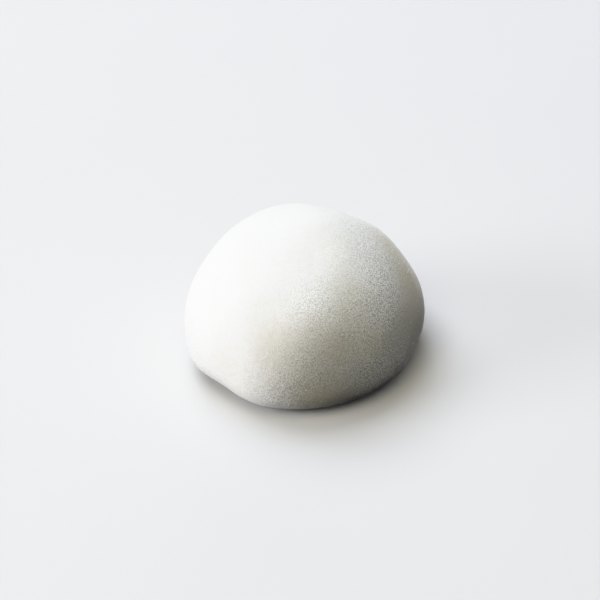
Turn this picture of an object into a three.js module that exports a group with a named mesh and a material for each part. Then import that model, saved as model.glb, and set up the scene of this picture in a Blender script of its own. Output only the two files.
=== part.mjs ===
// Mochi rice cake: one plump ball of soft rice dough, shaped by hand and settled on its base.
// Millimetres, +Z up. The origin is the middle of the footprint, on the plane it rests on.
import * as THREE from 'three';

// The settled ball, before it is pressed
const WIDEST_RADIUS = 28;
const WIDEST_LEVEL = 9.5;
const HEIGHT = 36.3;
const CONTACT_RADIUS = 16;

// Superellipse exponents: 2 is an ellipse, more is fuller
const CROWN_FULLNESS = 2.0;
const FOOT_FULLNESS = 2.8;

// The plan is slightly oval, with its long axis at this azimuth, and the top leans towards +X
const OVALITY = 0.018;
const OVAL_AZIMUTH = 45;
const LEAN = 1.4;

// Soft hollows left by the fingers, and the swells that rose between them, whose depth is
// negative: the way each one faces, in degrees, its depth and its spread
const PRESSES = [
  // Round the foot and the waist
  { azimuth: -142, elevation: -43, depth: 1.35, spread: 5 },
  { azimuth: -126, elevation: 9, depth: 0.7, spread: 5.5 },
  { azimuth: -37, elevation: 6, depth: 0.55, spread: 4 },
  { azimuth: -18, elevation: -29, depth: 0.8, spread: 6 },
  { azimuth: 100, elevation: -12, depth: 0.7, spread: 7 },
  { azimuth: 130, elevation: 12, depth: -0.5, spread: 8 },
  { azimuth: 172, elevation: -30, depth: 0.5, spread: 6 },
  // Round the shoulder
  { azimuth: -90, elevation: 30, depth: -0.7, spread: 9.5 },
  { azimuth: -78, elevation: 32, depth: -1.0, spread: 6 },
  { azimuth: -8, elevation: 29, depth: 0.3, spread: 5.5 },
  { azimuth: 23, elevation: 28, depth: 1.25, spread: 7.5 },
  { azimuth: 150, elevation: 20, depth: 0.9, spread: 5 },
  // Near the crown
  { azimuth: -79, elevation: 68, depth: 0.5, spread: 4 },
  { azimuth: -31, elevation: 60, depth: 0.95, spread: 10.5 },
  { azimuth: 61, elevation: 49, depth: 1.75, spread: 7.5 },
];

// Points this near the plane it rests on belong to the flat base
const BASE_TOLERANCE = 1e-6;

// Mesh density
const SIDES = 80;
const FOOT_STEPS = 12;
const CROWN_STEPS = 26;

const DOUGH = new THREE.MeshStandardMaterial({ color: 0xefeeea, roughness: 0.62, metalness: 0 });

// One quarter of a superellipse, from its widest point (t = 0) to its pole (t = 1)
function quarter(t, fullness) {
  const angle = (t * Math.PI) / 2;
  return {
    across: Math.max(0, Math.cos(angle)) ** (2 / fullness),
    along: Math.sin(angle) ** (2 / fullness),
  };
}

// Half section from the middle of the base, out to the widest level and up to the crown
function halfSection() {
  const points = [new THREE.Vector2(0, 0)];
  for (let step = FOOT_STEPS; step > 0; step -= 1) {
    const { across, along } = quarter(step / FOOT_STEPS, FOOT_FULLNESS);
    const radius = CONTACT_RADIUS + (WIDEST_RADIUS - CONTACT_RADIUS) * across;
    points.push(new THREE.Vector2(radius, WIDEST_LEVEL * (1 - along)));
  }
  for (let step = 0; step < CROWN_STEPS; step += 1) {
    const { across, along } = quarter(step / CROWN_STEPS, CROWN_FULLNESS);
    const level = WIDEST_LEVEL + (HEIGHT - WIDEST_LEVEL) * along;
    points.push(new THREE.Vector2(WIDEST_RADIUS * across, level));
  }
  points.push(new THREE.Vector2(0, HEIGHT));
  return points;
}

// Makes the round plan oval and moves each level sideways by its share of the lean
function settle(point) {
  const azimuth = Math.atan2(point.y, point.x);
  const longAxis = THREE.MathUtils.degToRad(OVAL_AZIMUTH);
  const stretch = 1 + OVALITY * Math.cos(2 * (azimuth - longAxis));
  const lean = (LEAN * point.z) / HEIGHT;
  return new THREE.Vector3(point.x * stretch + lean, point.y * stretch, point.z);
}

function facing({ azimuth, elevation }) {
  const around = THREE.MathUtils.degToRad(azimuth);
  const up = THREE.MathUtils.degToRad(elevation);
  return new THREE.Vector3(
    Math.cos(up) * Math.cos(around),
    Math.cos(up) * Math.sin(around),
    Math.sin(up),
  );
}

// Sinks the surface round each mark's middle by its depth, fading as a bell curve as wide as its
// spread. Every mark is placed on the unpressed ball, and the base stays flat.
function press(points) {
  const marks = PRESSES.map((mark) => {
    const normal = facing(mark);
    const reach = points.map((point) => point.dot(normal));
    return { ...mark, normal, middle: points[reach.indexOf(Math.max(...reach))] };
  });
  return points.map((point) => {
    const pressed = point.clone();
    for (const { normal, middle, depth, spread } of marks) {
      const away = point.distanceTo(middle) / spread;
      pressed.addScaledVector(normal, -depth * Math.exp((-away * away) / 2));
    }
    pressed.z = point.z > BASE_TOLERANCE ? Math.max(pressed.z, 0) : 0;
    return pressed;
  });
}

// Turns the half section round +Z, settles and presses every point of it, and centres the result
function mochi() {
  const geometry = new THREE.LatheGeometry(halfSection(), SIDES);
  geometry.rotateX(Math.PI / 2);
  const position = geometry.getAttribute('position');
  const settled = [];
  for (let index = 0; index < position.count; index += 1) {
    settled.push(settle(new THREE.Vector3().fromBufferAttribute(position, index)));
  }
  press(settled).forEach((point, index) => position.setXYZ(index, point.x, point.y, point.z));
  geometry.computeBoundingBox();
  const middle = geometry.boundingBox.getCenter(new THREE.Vector3());
  geometry.translate(-middle.x, -middle.y, -geometry.boundingBox.min.z);
  geometry.computeVertexNormals();
  const mesh = new THREE.Mesh(geometry, DOUGH);
  mesh.name = 'mochi';
  return mesh;
}

const part = new THREE.Group();
part.add(mochi());

export default part;
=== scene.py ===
import math

import bpy
import numpy as np
from mathutils import Matrix, Vector


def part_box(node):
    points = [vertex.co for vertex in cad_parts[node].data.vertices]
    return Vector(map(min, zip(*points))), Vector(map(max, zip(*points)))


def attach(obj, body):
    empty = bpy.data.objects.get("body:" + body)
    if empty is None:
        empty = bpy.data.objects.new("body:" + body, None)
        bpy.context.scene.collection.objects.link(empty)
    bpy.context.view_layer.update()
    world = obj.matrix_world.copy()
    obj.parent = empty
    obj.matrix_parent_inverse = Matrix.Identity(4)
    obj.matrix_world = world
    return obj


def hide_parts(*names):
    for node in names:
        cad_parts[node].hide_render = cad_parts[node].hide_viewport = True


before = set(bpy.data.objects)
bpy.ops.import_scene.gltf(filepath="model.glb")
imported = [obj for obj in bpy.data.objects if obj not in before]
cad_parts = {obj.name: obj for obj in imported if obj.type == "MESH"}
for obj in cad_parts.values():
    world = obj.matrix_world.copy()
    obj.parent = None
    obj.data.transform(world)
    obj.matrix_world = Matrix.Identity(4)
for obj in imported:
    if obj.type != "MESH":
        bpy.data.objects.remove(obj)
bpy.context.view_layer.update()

bl_info = {
    "name": "Mochi rice cake",
    "version": (1, 0, 0),
    "blender": (4, 5, 0),
    "location": "3D View > Sidebar > Mochi",
    "description": "Makes a mochi rice cake dusted with starch, and the stage it is shown on",
    "category": "Add Mesh",
}

NODE = "mochi"
LOWEST, HIGHEST = (np.array(corner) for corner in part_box(NODE))
MM = 0.001

# Steps along each quarter of the half section, before its points are spaced evenly
SECTION_STEPS = 1500

# Shortest and longest waves of the dough's relief, and the height over which it fades in
SLOW_WAVES = (9 * MM, 17 * MM)
DIMPLE_WAVES = (2.4 * MM, 4.5 * MM)
PEEL_WAVES = (1.0 * MM, 1.9 * MM)
RELIEF_FADE = 3 * MM


# Shapes: every function works on whole arrays, in metres


def quarter(turn, fullness):
    """One quarter of a superellipse. At a turn of 0 to 90 degrees the way across is cos(turn) and
    the way along is sin(turn), each raised to 2 / fullness: 2 is an ellipse, more is fuller."""
    power = 2 / fullness
    return np.clip(np.cos(turn), 0, 1) ** power, np.clip(np.sin(turn), 0, 1) ** power


def half_section(dough, rings):
    """Radius and level of points that lie evenly spaced along the half section. It runs out along
    the flat base, up one quarter superellipse to the widest level, and up another to the crown."""
    turn = np.linspace(0, math.pi / 2, SECTION_STEPS)
    across, along = quarter(turn[::-1], dough.foot_fullness)
    foot_radius = dough.contact_radius + (dough.widest_radius - dough.contact_radius) * across
    foot_level = dough.widest_level * (1 - along)
    across, along = quarter(turn, dough.crown_fullness)
    crown_radius = dough.widest_radius * across
    crown_level = dough.widest_level + (dough.height - dough.widest_level) * along
    radius = np.concatenate([[0], foot_radius, crown_radius])
    level = np.concatenate([[0], foot_level, crown_level])
    travelled = np.concatenate([[0], np.cumsum(np.hypot(np.diff(radius), np.diff(level)))])
    stops = np.linspace(0, travelled[-1], rings + 1)
    return np.interp(stops, travelled, radius), np.interp(stops, travelled, level)


# Soft hollows left by the fingers, and the swells that rose between them, whose depth is negative:
# azimuth and elevation that each one faces in degrees, and its depth and spread in millimetres
PRESSES = np.array([
    # Round the foot and the waist
    (-142, -43, 1.35, 5),
    (-126, 9, 0.7, 5.5),
    (-37, 6, 0.55, 4),
    (-18, -29, 0.8, 6),
    (100, -12, 0.7, 7),
    (130, 12, -0.5, 8),
    (172, -30, 0.5, 6),
    # Round the shoulder
    (-90, 30, -0.7, 9.5),
    (-78, 32, -1.0, 6),
    (-8, 29, 0.3, 5.5),
    (23, 28, 1.25, 7.5),
    (150, 20, 0.9, 5),
    # Near the crown
    (-79, 68, 0.5, 4),
    (-31, 60, 0.95, 10.5),
    (61, 49, 1.75, 7.5),
])


def facing(azimuth, elevation):
    """Unit vector at an azimuth from +X and an elevation above the horizon, both in degrees."""
    around, up = np.radians(azimuth), np.radians(elevation)
    return np.stack([np.cos(up) * np.cos(around), np.cos(up) * np.sin(around), np.sin(up)], -1)


def settled_ball(dough, sides, rings):
    """The smooth rice cake, as a grid of points with one row for each ring from the middle of the
    base to the crown. The half section turns about +Z, its plan is stretched by 1 + ovality times
    cos(2 (azimuth - oval azimuth)), and each level moves to +X by its share of the lean. Each
    finger then sinks the surface by depth times exp(-(distance / spread)^2 / 2)."""
    radius, level = (line[:, None] for line in half_section(dough, rings))
    azimuth = np.linspace(0, 2 * math.pi, sides, endpoint=False)[None, :]
    stretch = 1 + dough.ovality * np.cos(2 * (azimuth - dough.oval_azimuth))
    across = radius * stretch
    points = np.stack([
        across * np.cos(azimuth) + dough.lean * level / dough.height,
        across * np.sin(azimuth),
        level * np.ones_like(azimuth),
    ], -1)
    pressed = points.copy()
    for azimuth, elevation, depth, spread in PRESSES:
        normal = facing(azimuth, elevation)
        middle = points.reshape(-1, 3)[np.argmax(points @ normal)]
        away = np.linalg.norm(points - middle, axis=-1) / (spread * MM)
        pressed -= (depth * MM * np.exp(-away ** 2 / 2))[..., None] * normal
    pressed[..., 2] = np.where(points[..., 2] > 0, np.maximum(pressed[..., 2], 0), 0)
    return fitted(pressed)


def fitted(points):
    """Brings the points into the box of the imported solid."""
    low, high = points.reshape(-1, 3).min(0), points.reshape(-1, 3).max(0)
    return LOWEST + (points - low) * (HIGHEST - LOWEST) / (high - low)


def grid_normals(points):
    """Outward unit normals of a grid of rings: the cross product of the step to the next side
    and the step to the next ring. At the two poles they are straight down and straight up."""
    around = np.roll(points, -1, 1) - np.roll(points, 1, 1)
    along = np.gradient(points, axis=0)
    normals = np.cross(around, along)
    normals[0], normals[-1] = (0, 0, -1), (0, 0, 1)
    return normals / np.maximum(np.linalg.norm(normals, axis=-1, keepdims=True), 1e-12)


def ripple(points, rng, shortest, longest, waves=48):
    """A smooth random height with a spread of about 1: the sum of plane waves that run in random
    ways through space, with lengths between the shortest and the longest, over the root of half
    their number."""
    ways = rng.normal(size=(waves, 3))
    ways /= np.linalg.norm(ways, axis=1, keepdims=True)
    ways *= (2 * math.pi / rng.uniform(shortest, longest, waves))[:, None]
    phase = rng.uniform(0, 2 * math.pi, waves)
    total = np.zeros(points.shape[:-1])
    for way, start in zip(ways, phase):
        total += np.cos(points @ way + start)
    return total / math.sqrt(waves / 2)


def dough_relief(dough, points):
    """How far the dough stands out from the smooth ball: slow unevenness from the hands, soft
    dimples a few millimetres wide, and a fine peel. It fades out towards the flat base."""
    rng = np.random.default_rng(dough.seed)
    slow = ripple(points, rng, *SLOW_WAVES)
    dimples = ripple(points, rng, *DIMPLE_WAVES)
    peel = ripple(points, rng, *PEEL_WAVES)
    height = dough.unevenness * slow - dough.dimple_depth * np.abs(dimples)
    height += dough.peel_depth * peel
    fade = np.clip(points[..., 2] / RELIEF_FADE, 0, 1)
    return height * fade * fade * (3 - 2 * fade)


def dough_grid(dough):
    """The rice cake as it is shown: the smooth ball moved along its normals by the relief."""
    smooth = settled_ball(dough, dough.sides, dough.rings)
    relief = dough_relief(dough, smooth)
    relief[0], relief[-1] = relief[0].mean(), relief[-1].mean()
    points = smooth + grid_normals(smooth) * relief[..., None]
    points[..., 2] = np.where(smooth[..., 2] > 0, np.maximum(points[..., 2], 0), 0)
    return points


def ring_faces(rings, sides):
    """Faces of a closed surface whose points are the bottom pole, each ring in turn and the top
    pole: a fan of triangles at each pole and four-sided faces between the rings."""
    side = np.arange(sides)
    after = (side + 1) % sides
    start = 1 + np.arange(rings - 1)[:, None] * sides
    quads = np.stack([start + side, start + after, start + sides + after, start + sides + side], -1)
    top = 1 + rings * sides
    last = top - sides
    bottom_fan = np.stack([np.zeros_like(side), 1 + after, 1 + side], -1)
    top_fan = np.stack([np.full_like(side, top), last + side, last + after], -1)
    return quads.reshape(-1, 4).tolist() + bottom_fan.tolist() + top_fan.tolist()


# Patches of the dusting: azimuth and elevation that each one faces in degrees, its spread in
# millimetres and its share. The grains of starch lie loose in the first ones, and in the others
# the dusting is thin and the dough shows through; there the warmer, darker colour is also painted
# warm shade.
PATCHES = {
    "loose": np.array([
        (-60, 20, 7.5, 0.6), (-20, 44, 7.5, 0.75), (-92, -12, 7.5, 0.85), (-40, -4, 5.5, 0.95),
        (-80, 52, 5.5, 0.5), (-40, 28, 5.5, 0.65), (5, 60, 7.5, 0.35), (-90, 12, 4, 0.35),
        (-60, -4, 4, 0.6), (-100, -12, 4, 0.45), (60, 10, 9, 0.6), (125, 15, 9, 0.6),
        (195, 0, 8, 0.5),
    ]),
    "clear": np.array([
        (-10, 28, 4, 1.0), (-82, -20, 4.5, 0.9), (-50, 47, 4, 0.45), (-105, 22, 5, 0.35),
        (-70, 16, 4.5, 0.5), (-30, 10, 4, 0.35), (-30, 70, 4, 0.2), (5, 39, 3.5, 0.4),
        (-93, -2, 5, 0.3), (-47, 14, 2.5, 0.5), (8, 44, 3, 0.35), (80, 12, 6, 0.5),
        (150, 28, 5, 0.5),
    ]),
}


def patch_shares(marks, points):
    """Sum over the marks of share times exp(-(distance / spread)^2 / 2), held between 0 and 1."""
    total = np.zeros(len(points))
    for azimuth, elevation, spread, amount in marks:
        middle = points[np.argmax(points @ facing(azimuth, elevation))]
        away = np.linalg.norm(points - middle, axis=-1) / (spread * MM)
        total += amount * np.exp(-away ** 2 / 2)
    return np.clip(total, 0, 1)


def add_piece(name, points, faces, material, smooth=True):
    """Puts points and faces into a new mesh object at the origin."""
    mesh = bpy.data.meshes.new(name)
    mesh.from_pydata(points.reshape(-1, 3), [], faces)
    mesh.polygons.foreach_set("use_smooth", np.full(len(mesh.polygons), smooth))
    mesh.materials.append(material)
    mesh.validate()
    mesh.update()
    piece = bpy.data.objects.new(name, mesh)
    bpy.context.scene.collection.objects.link(piece)
    return piece


# A rounded clump with 20 faces
GOLDEN = (1 + math.sqrt(5)) / 2
CLUMP_POINTS = np.array([
    (-1, GOLDEN, 0), (1, GOLDEN, 0), (-1, -GOLDEN, 0), (1, -GOLDEN, 0),
    (0, -1, GOLDEN), (0, 1, GOLDEN), (0, -1, -GOLDEN), (0, 1, -GOLDEN),
    (GOLDEN, 0, -1), (GOLDEN, 0, 1), (-GOLDEN, 0, -1), (-GOLDEN, 0, 1),
]) / math.hypot(1, GOLDEN)
CLUMP_FACES = np.array([
    (0, 11, 5), (0, 5, 1), (0, 1, 7), (0, 7, 10), (0, 10, 11),
    (1, 5, 9), (5, 11, 4), (11, 10, 2), (10, 7, 6), (7, 1, 8),
    (3, 9, 4), (3, 4, 2), (3, 2, 6), (3, 6, 8), (3, 8, 9),
    (4, 9, 5), (2, 4, 11), (6, 2, 10), (8, 6, 7), (9, 8, 1),
])

# The clumps of starch: the waves of their ripple, their share where the starch isn't loose, the
# height below which there are none, how much more common the small ones are, and how uneven, how
# long and wide, how tall and how far out of the dough they are, as shares of half their width
CLUMP_WAVES = (10 * MM, 22 * MM)
CLUMPS_ELSEWHERE = 0.08
CLUMPS_FROM = 1.5 * MM
CLUMPS_SMALL = 2.5
CLUMP_UNEVENNESS = 0.28
CLUMP_SIDES = (0.75, 1.25)
CLUMP_HEIGHTS = (0.3, 0.5)
CLUMP_LIFT = 0.12


def starch_clumps(starch, grid):
    """Points and faces of the clumps of starch that cling to the dough. Each clump is a rounded
    20-faced shape with its corners moved at random, pressed flat along the normal of the dough
    and sunk by a third of its height. Clumps lie thickest where the starch is loose and where a
    slow ripple is high."""
    rng = np.random.default_rng(starch.seed)
    normals = grid_normals(grid)
    corner, right, up = grid[:-1, :], np.roll(grid, -1, 1)[:-1], grid[1:]
    area = np.linalg.norm(np.cross(right - corner, up - corner), axis=-1)
    thick = np.exp(starch.patchiness * ripple(corner, rng, *CLUMP_WAVES))
    loose = patch_shares(PATCHES["loose"], corner.reshape(-1, 3)).reshape(area.shape)
    thick *= CLUMPS_ELSEWHERE + loose
    reach = np.cumsum((area * thick * (corner[..., 2] > CLUMPS_FROM)).ravel())
    picked = np.searchsorted(reach, rng.uniform(0, reach[-1], starch.count))
    ring, side = np.divmod(picked, grid.shape[1])
    following = (side + 1) % grid.shape[1]
    a, b = rng.uniform(0, 1, (2, starch.count, 1))
    place = (grid[ring, side] * (1 - a) + grid[ring, following] * a) * (1 - b)
    place += (grid[ring + 1, side] * (1 - a) + grid[ring + 1, following] * a) * b
    normal = normals[ring, side]
    sideways = np.cross(normal, rng.normal(size=(starch.count, 3)))
    sideways /= np.linalg.norm(sideways, axis=1, keepdims=True)
    forwards = np.cross(normal, sideways)
    growth = rng.uniform(0, 1, starch.count) ** CLUMPS_SMALL
    half = starch.smallest * (starch.largest / starch.smallest) ** growth / 2
    corners = CLUMP_POINTS * (1 + CLUMP_UNEVENNESS * rng.normal(size=(starch.count, 12, 1)))
    corners *= half[:, None, None] * np.stack([
        rng.uniform(*CLUMP_SIDES, starch.count),
        rng.uniform(*CLUMP_SIDES, starch.count),
        rng.uniform(*CLUMP_HEIGHTS, starch.count),
    ], -1)[:, None, :]
    points = place[:, None, :] + CLUMP_LIFT * half[:, None, None] * normal[:, None, :]
    for axis, way in enumerate((sideways, forwards, normal)):
        points = points + corners[..., axis:axis + 1] * way[:, None, :]
    faces = CLUMP_FACES[None] + 12 * np.arange(starch.count)[:, None, None]
    return points, faces.reshape(-1, 3).tolist()


# Finishes


class Value:
    """A number that varies over a surface. Arithmetic on it adds Math nodes."""

    def __init__(self, finish, socket):
        self.finish = finish
        self.socket = socket

    def math(self, operation, first, second):
        return self.finish.node("ShaderNodeMath", {"operation": operation}, {0: first, 1: second})

    def __add__(self, other):
        return self.math("ADD", self, other)

    def __mul__(self, other):
        return self.math("MULTIPLY", self, other)

    def __radd__(self, other):
        return self.math("ADD", other, self)

    def __rsub__(self, other):
        return self.math("SUBTRACT", other, self)

    def __rmul__(self, other):
        return self.math("MULTIPLY", other, self)


class Finish:
    """A material that is being put together from nodes."""

    def __init__(self, name):
        self.material = bpy.data.materials.new(name)
        self.material.use_nodes = True
        self.tree = self.material.node_tree
        self.tree.nodes.clear()

    def node(self, kind, settings=None, sockets=None, output=0):
        """Adds a node, gives it its settings and then the values or links of its sockets, and
        returns one of its outputs."""
        node = self.tree.nodes.new(kind)
        for name, setting in (settings or {}).items():
            setattr(node, name, setting)
        for name, value in (sockets or {}).items():
            if isinstance(value, Value):
                self.tree.links.new(value.socket, node.inputs[name])
            else:
                node.inputs[name].default_value = value
        return Value(self, node.outputs[output]) if node.outputs else None

    def place(self):
        return self.node("ShaderNodeTexCoord", output="Object")

    def away(self):
        """Distance from the object's origin."""
        sockets = {0: self.place()}
        return self.node("ShaderNodeVectorMath", {"operation": "LENGTH"}, sockets, "Value")

    def layer(self, name):
        """A layer of shares that is stored on the mesh."""
        return self.node("ShaderNodeAttribute", {"attribute_name": name}, output="Fac")

    def noise(self, size, detail, roughness):
        """Noise between 0 and 1, whose blotches are about the given size in metres."""
        sockets = {"Vector": self.place(), "Scale": 1 / size, "Detail": detail,
                   "Roughness": roughness}
        return self.node("ShaderNodeTexNoise", {"noise_dimensions": "3D"}, sockets, "Fac")

    def cells(self, size):
        """Distance to the nearest of many scattered points, about the given size apart."""
        sockets = {"Vector": self.place(), "Scale": 1 / size}
        return self.node("ShaderNodeTexVoronoi", {"feature": "F1"}, sockets, "Distance")

    def stretch(self, value, low, high, smooth=True):
        """Maps low..high to 0..1, held at both ends."""
        settings = {"interpolation_type": "SMOOTHSTEP" if smooth else "LINEAR", "clamp": True}
        sockets = {"Value": value, "From Min": low, "From Max": high}
        return self.node("ShaderNodeMapRange", settings, sockets)

    def mix(self, factor, first, second, blend="MIX"):
        """Blends two colours."""
        settings = {"data_type": "RGBA", "blend_type": blend}
        return self.node("ShaderNodeMix", settings, {0: factor, 6: first, 7: second}, 2)

    def bump(self, height, distance):
        """Turns a height of 0 to 1 into a tilted normal."""
        sockets = {"Height": height, "Distance": distance, "Strength": 1.0}
        return self.node("ShaderNodeBump", None, sockets)

    def surface(self, sockets):
        shader = self.node("ShaderNodeBsdfPrincipled", None, sockets)
        self.node("ShaderNodeOutputMaterial", None, {"Surface": shader})
        return self.material


def paint(colour):
    return (*colour, 1.0)


def dough_finish(dough):
    """Matt rice dough under fine starch. Where the grains of starch lie loose, they stand out
    bright,
    and the gaps between them are darker: partly the dough between the grains and partly painted
    shade. Elsewhere the dusting is even, and where it is thin, the dough's own warmer colour shows.
    In the clear patches that warmer, darker colour is partly the dough showing and partly painted
    warm shade."""
    finish = Finish("rice dough dusted with starch")
    drifts = finish.stretch(finish.noise(9 * MM, 3, 0.55), 0.35, 0.65)
    mottle = finish.stretch(finish.noise(1.2 * MM, 2, 0.6), 0.3, 0.7)
    loose, clear = finish.layer("loose"), finish.layer("clear")
    grains = 1 - finish.cells(dough.grain_size)
    apart = (0.04 + 0.96 * loose) * (1 - 0.4 * clear)
    # Painted shade: the gaps between the grains are darkened, partly the dough between them and
    # partly painted shade
    gap_shade = apart * finish.stretch(grains, 0.62, 0.35, False)
    thin = 0.15 * drifts + 0.35 * mottle
    even = finish.mix(thin, paint(dough.even_colour), paint(dough.dough_and_warm_shade_colour))
    dusted = finish.mix(apart, even, paint(dough.grain_colour))
    # Painted shade: the clear patches take the warmer, darker colour, partly the dough showing
    # through and partly painted warm shade
    base = finish.mix(clear, dusted, paint(dough.dough_and_warm_shade_colour))
    return finish.surface({
        "Base Color": finish.mix(gap_shade, base, paint(dough.gap_shade_colour), "MULTIPLY"),
        "Roughness": dough.roughness + 0.25 * grains,
        "IOR": 1.42,
        "Subsurface Weight": dough.translucency,
        "Subsurface Radius": (1.0, 1.0, 1.0),
        "Subsurface Scale": dough.light_depth,
        "Sheen Weight": dough.sheen,
        "Sheen Roughness": 0.55,
        "Sheen Tint": paint((1.0, 1.0, 1.0)),
        "Normal": finish.bump(grains * apart, dough.grain_depth),
    })


def starch_finish(starch):
    """Dry white starch, a little uneven in tone."""
    finish = Finish("dry starch")
    tone = finish.noise(0.4 * MM, 2, 0.6)
    shade = tuple(channel * 0.93 for channel in starch.colour)
    return finish.surface({
        "Base Color": finish.mix(tone, paint(shade), paint(starch.colour)),
        "Roughness": 0.85 + 0.1 * tone,
        "Subsurface Weight": 0.2,
        "Subsurface Radius": (1.0, 0.9, 0.8),
        "Subsurface Scale": 0.4 * MM,
    })


# The floor's glow sets in between these distances from the rice cake
GLOW_FROM, GLOW_TO = 1.0, 1.45


def floor_finish(stage):
    """Plain pale floor with a barely visible unevenness of tone. Far out, where the lights don't
    reach, it glows as brightly as the room."""
    finish = Finish("pale floor")
    tone = finish.noise(60 * MM, 2, 0.5)
    far = finish.stretch(finish.away(), GLOW_FROM, GLOW_TO)
    shade = tuple(channel * 0.97 for channel in stage.floor_colour)
    return finish.surface({
        "Base Color": finish.mix(tone, paint(shade), paint(stage.floor_colour)),
        "Roughness": 0.7 + 0.1 * tone,
        "Specular IOR Level": 0.2,
        "Emission Color": finish.mix(far, paint((0.0, 0.0, 0.0)), paint(stage.room_colour)),
        "Emission Strength": 1.0,
    })


# Sizes and colours that a user would change


def length(name, description, default):
    return bpy.props.FloatProperty(name=name, description=description, default=default, min=0,
                                   subtype="DISTANCE", unit="LENGTH", precision=5)


def share(name, description, default):
    return bpy.props.FloatProperty(name=name, description=description, default=default, min=0,
                                   subtype="FACTOR")


def whole(name, description, default, least=0):
    return bpy.props.IntProperty(name=name, description=description, default=default, min=least)


def colour(name, description, default):
    return bpy.props.FloatVectorProperty(name=name, description=description, default=default,
                                         size=3, min=0, max=1, subtype="COLOR")


class DoughSettings(bpy.types.PropertyGroup):
    widest_radius: length("Widest radius", "Radius of the ball at its widest level", 28 * MM)
    widest_level: length("Widest level", "Height of the widest level above the base", 9.5 * MM)
    height: length("Height", "Height of the crown before it is pressed", 36.3 * MM)
    contact_radius: length("Contact radius", "Radius of the flat patch it rests on", 16 * MM)
    crown_fullness: share("Crown fullness", "2 is an ellipse, more is fuller", 2.0)
    foot_fullness: share("Foot fullness", "2 is an ellipse, more is fuller", 2.8)
    ovality: share("Ovality", "Share by which the plan is longer along its long axis", 0.018)
    oval_azimuth: bpy.props.FloatProperty(
        name="Oval azimuth", description="Azimuth of the plan's long axis",
        default=math.radians(45), subtype="ANGLE", unit="ROTATION")
    lean: length("Lean", "How far the crown stands towards +X", 1.4 * MM)
    sides: whole("Sides", "Points round each ring", 448, 8)
    rings: whole("Rings", "Rings from the base to the crown", 220, 8)
    seed: whole("Seed", "Seed of the random relief", 7)
    unevenness: length("Unevenness", "Slow waves left by the hands", 0.05 * MM)
    dimple_depth: length("Dimple depth", "Depth of the soft dimples", 0.016 * MM)
    peel_depth: length("Peel depth", "Depth of the fine peel", 0.006 * MM)
    grain_size: length("Grain size", "How far the grains of starch lie apart", 0.25 * MM)
    grain_depth: length("Grain depth", "Height of the grains", 0.12 * MM)
    even_colour: colour("Even colour", "Colour where the dusting is even", (0.75, 0.75, 0.74))
    # This colour is partly the dough showing through and partly painted warm shade in the clear
    # patches
    dough_and_warm_shade_colour: colour("Clear colour", "Colour where the dough shows", (0.68, 0.635, 0.515))
    grain_colour: colour("Grain colour", "Colour of the loose grains", (0.95, 0.95, 0.94))
    # The gap tint darkens the gaps between the grains: partly the dough between them, partly
    # painted shade
    gap_shade_colour: colour("Gap colour", "Tint of the gaps between the grains", (0.45, 0.43, 0.39))
    roughness: share("Roughness", "Roughness of the bare dough", 0.5)
    translucency: share("Translucency", "Share of the light that passes through the dough", 0.2)
    light_depth: length("Light depth", "How deep light passes into the dough", 2.0 * MM)
    sheen: share("Sheen", "Soft sheen of the dusting", 0.12)


class StarchSettings(bpy.types.PropertyGroup):
    count: whole("Clumps", "Number of clumps of starch", 2600, 1)
    smallest: length("Smallest", "Width of the smallest clump", 0.12 * MM)
    largest: length("Largest", "Width of the largest clump", 0.38 * MM)
    patchiness: share("Patchiness", "How unevenly the clumps are spread", 0.7)
    seed: whole("Seed", "Seed of the random clumps", 3)
    colour: colour("Colour", "Colour of the starch", (0.95, 0.95, 0.93))


class StageSettings(bpy.types.PropertyGroup):
    floor_size: length("Floor size", "Side of the square floor", 4.0)
    floor_colour: colour("Floor colour", "Colour of the floor", (0.62, 0.61, 0.60))
    shade_radius: length("Shade radius", "Radius of the disc below the base", 24 * MM)
    brightness: share("Brightness", "Scales the power of every light", 1.0)
    room_colour: colour("Room colour", "Colour of the background", (0.62, 0.61, 0.60))


# Operators


class MOCHI_OT_dough(bpy.types.Operator):
    """Shape the rice cake from dough"""

    bl_idname = "mochi.dough"
    bl_label = "Dough"

    def execute(self, context):
        dough = context.scene.mochi_dough
        grid = dough_grid(dough)
        rings = grid[1:-1]
        points = np.concatenate([grid[0, :1], rings.reshape(-1, 3), grid[-1, :1]])
        faces = ring_faces(len(rings), dough.sides)
        piece = add_piece("rice_dough", points, faces, dough_finish(dough))
        # The clear layer marks patches of thin dusting that also carry painted warm shade
        for name, marks in PATCHES.items():
            layer = piece.data.attributes.new(name, "FLOAT", "POINT")
            layer.data.foreach_set("value", patch_shares(marks, points))
        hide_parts(NODE)
        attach(piece, "root")
        return {"FINISHED"}


class MOCHI_OT_starch(bpy.types.Operator):
    """Dust the rice cake with clumps of starch"""

    bl_idname = "mochi.starch"
    bl_label = "Starch"

    def execute(self, context):
        scene = context.scene
        points, faces = starch_clumps(scene.mochi_starch, dough_grid(scene.mochi_dough))
        piece = add_piece("starch_clumps", points, faces, starch_finish(scene.mochi_starch))
        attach(piece, "root")
        return {"FINISHED"}


# Soft lights: name, azimuth and elevation in degrees, width and height in metres, power in watts
# and tint. The two low ones stand for the glow of a bright table, and shine through the floor.
LIGHTS = [
    ("window", 192, 20, 0.7, 0.5, 8.2, (0.91, 0.91, 1.0)),
    ("skylight", 120, 60, 1.0, 1.0, 17.4, (0.8, 0.86, 1.0)),
    ("low_light", 180, -20, 0.7, 0.4, 12.8, (0.99, 1.0, 0.99)),
    ("front_fill", 260, 60, 1.0, 1.0, 9.4, (1.0, 0.98, 0.82)),
    ("side_fill", 315, 40, 1.0, 1.0, 1.0, (0.75, 0.77, 1.0)),
    ("back_fill", 80, 8, 1.0, 0.7, 3.6, (1.0, 0.96, 0.84)),
    ("low_back_fill", 78, -30, 1.0, 0.7, 3.6, (1.0, 0.97, 0.9)),
]

# How far off the lights stand, and the level that they face
LIGHT_DISTANCE = 1.2
LIGHT_AIM = 18 * MM


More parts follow.
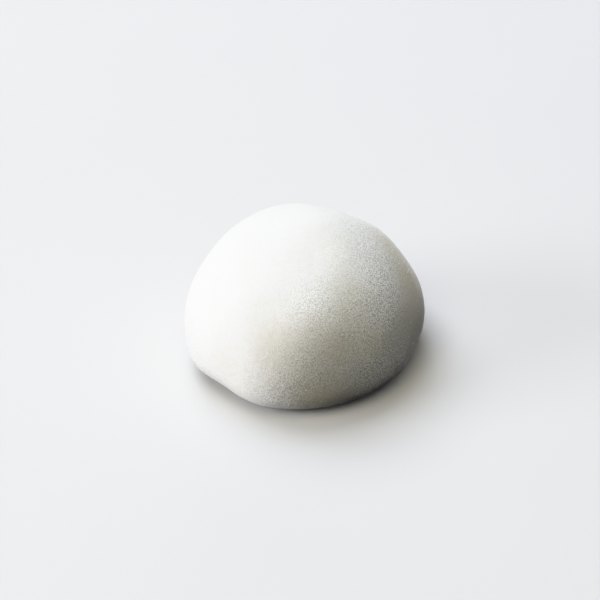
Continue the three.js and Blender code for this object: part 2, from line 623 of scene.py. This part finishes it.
def add_light(name, azimuth, elevation, width, height, power, tint):
    """A soft rectangular light that faces the rice cake."""
    lamp = bpy.data.lights.new(name, "AREA")
    lamp.shape = "RECTANGLE"
    lamp.size, lamp.size_y = width, height
    lamp.energy = power
    lamp.color = tint
    light = bpy.data.objects.new(name, lamp)
    bpy.context.scene.collection.objects.link(light)
    way = Vector(facing(azimuth, elevation))
    turn = (-way).to_track_quat("-Z", "Y").to_matrix().to_4x4()
    light.matrix_world = Matrix.Translation(way * LIGHT_DISTANCE + Vector((0, 0, LIGHT_AIM))) @ turn


# Tones above the shoulder bend towards the ceiling, and the curve ends at the brightest
SHOULDER, CEILING, BRIGHTEST = 0.8, 1.07, 2.0


def softened(tone):
    """Leaves a tone below the shoulder as it is. With room = ceiling - shoulder, a brighter one
    becomes ceiling - room^2 / (tone - shoulder + room), which goes on at the same slope."""
    room = CEILING - SHOULDER
    return tone if tone < SHOULDER else CEILING - room ** 2 / (tone - SHOULDER + room)


def soften_highlights(view):
    """Gives the view a tone curve that bends softly into white."""
    view.view_transform = "Standard"
    view.use_curve_mapping = True
    mapping = view.curve_mapping
    mapping.clip_max_x = mapping.clip_max_y = BRIGHTEST
    points = mapping.curves[3].points
    points[1].location = (BRIGHTEST, softened(BRIGHTEST))
    for tone in np.arange(0.1, BRIGHTEST - 0.05, 0.1):
        points.new(tone, softened(tone))
    mapping.update()


# The camera: what it looks at, how far off and how high in degrees it stands, how far in degrees
# it is turned about its own axis, the distance at which its frame is one metre wide, and the
# sensor's width in millimetres
CAMERA = {
    "target": Vector((-0.915, -4.543, 18.0)) * MM,
    "distance": 0.865,
    "elevation": 34.6,
    "roll": 2.95,
    "reach": 6.3017,
}
SENSOR_WIDTH = 36


def add_camera(target, distance, elevation, roll, reach):
    """The camera looks at the target from the -Y side and above."""
    up, turn = math.radians(elevation), math.radians(roll)
    forwards = Vector((0, math.cos(up), -math.sin(up)))
    level_up = Vector((0, math.sin(up), math.cos(up)))
    level_right = Vector((1, 0, 0))
    right = math.cos(turn) * level_right - math.sin(turn) * level_up
    above = math.sin(turn) * level_right + math.cos(turn) * level_up
    camera_data = bpy.data.cameras.new("camera")
    camera_data.sensor_fit = "HORIZONTAL"
    camera_data.sensor_width = SENSOR_WIDTH
    camera_data.lens = SENSOR_WIDTH * reach
    camera_data.clip_start, camera_data.clip_end = 0.01, 20
    camera = bpy.data.objects.new("camera", camera_data)
    bpy.context.scene.collection.objects.link(camera)
    rotation = Matrix((right, above, -forwards)).transposed().to_4x4()
    camera.matrix_world = Matrix.Translation(target - forwards * distance) @ rotation
    bpy.context.scene.camera = camera


# How far below the floor the disc lies that keeps low light off the base, and its sides
SHADE_DEPTH = 0.5 * MM
SHADE_SIDES = 64


def add_floor(stage):
    """The floor, which casts no shadow and no light on the rice cake, so that the low lights shine
    through it, and the disc just below it, which no camera sees."""
    half = stage.floor_size / 2
    corners = half * np.array([(-1, -1, 0), (1, -1, 0), (1, 1, 0), (-1, 1, 0)])
    floor = add_piece("floor", corners, [(0, 1, 2, 3)], floor_finish(stage), smooth=False)
    floor.visible_diffuse = floor.visible_glossy = floor.visible_shadow = False
    turn = np.linspace(0, 2 * math.pi, SHADE_SIDES, endpoint=False)
    rim = stage.shade_radius * np.stack([np.cos(turn), np.sin(turn), np.zeros_like(turn)], -1)
    rim[:, 2] = -SHADE_DEPTH
    faces = [tuple(range(SHADE_SIDES))]
    shade = add_piece("floor_shade", rim, faces, floor_finish(stage), smooth=False)
    shade.visible_camera = shade.visible_diffuse = shade.visible_glossy = False


class MOCHI_OT_stage(bpy.types.Operator):
    """Set the floor, the lights and the camera"""

    bl_idname = "mochi.stage"
    bl_label = "Stage"

    def execute(self, context):
        scene = context.scene
        stage = scene.mochi_stage
        add_floor(stage)
        for name, azimuth, elevation, width, height, power, tint in LIGHTS:
            add_light(name, azimuth, elevation, width, height, power * stage.brightness, tint)
        world = bpy.data.worlds.new("room")
        world.use_nodes = True
        background = world.node_tree.nodes["Background"]
        background.inputs["Color"].default_value = paint(stage.room_colour)
        scene.world = world
        reach = world.cycles_visibility
        reach.diffuse = reach.glossy = reach.transmission = reach.scatter = False
        soften_highlights(scene.view_settings)
        add_camera(**CAMERA)
        return {"FINISHED"}


class VIEW3D_PT_mochi(bpy.types.Panel):
    """Sizes, colours and steps of the rice cake"""

    bl_label = "Mochi"
    bl_space_type = "VIEW_3D"
    bl_region_type = "UI"
    bl_category = "Mochi"

    def draw(self, context):
        for operator, settings in STEPS:
            box = self.layout.box()
            group = getattr(context.scene, settings)
            for name in group.__annotations__:
                box.prop(group, name)
            box.operator(operator)


STEPS = [
    ("mochi.dough", "mochi_dough"),
    ("mochi.starch", "mochi_starch"),
    ("mochi.stage", "mochi_stage"),
]
CLASSES = (
    DoughSettings, StarchSettings, StageSettings,
    MOCHI_OT_dough, MOCHI_OT_starch, MOCHI_OT_stage, VIEW3D_PT_mochi,
)


def register():
    for cls in CLASSES:
        bpy.utils.register_class(cls)
    bpy.types.Scene.mochi_dough = bpy.props.PointerProperty(type=DoughSettings)
    bpy.types.Scene.mochi_starch = bpy.props.PointerProperty(type=StarchSettings)
    bpy.types.Scene.mochi_stage = bpy.props.PointerProperty(type=StageSettings)


def unregister():
    for _, settings in STEPS:
        delattr(bpy.types.Scene, settings)
    for cls in reversed(CLASSES):
        bpy.utils.unregister_class(cls)


def main():
    register()
    for operator, _ in STEPS:
        group, name = operator.split(".")
        getattr(getattr(bpy.ops, group), name)()


if __name__ == "__main__":
    main()
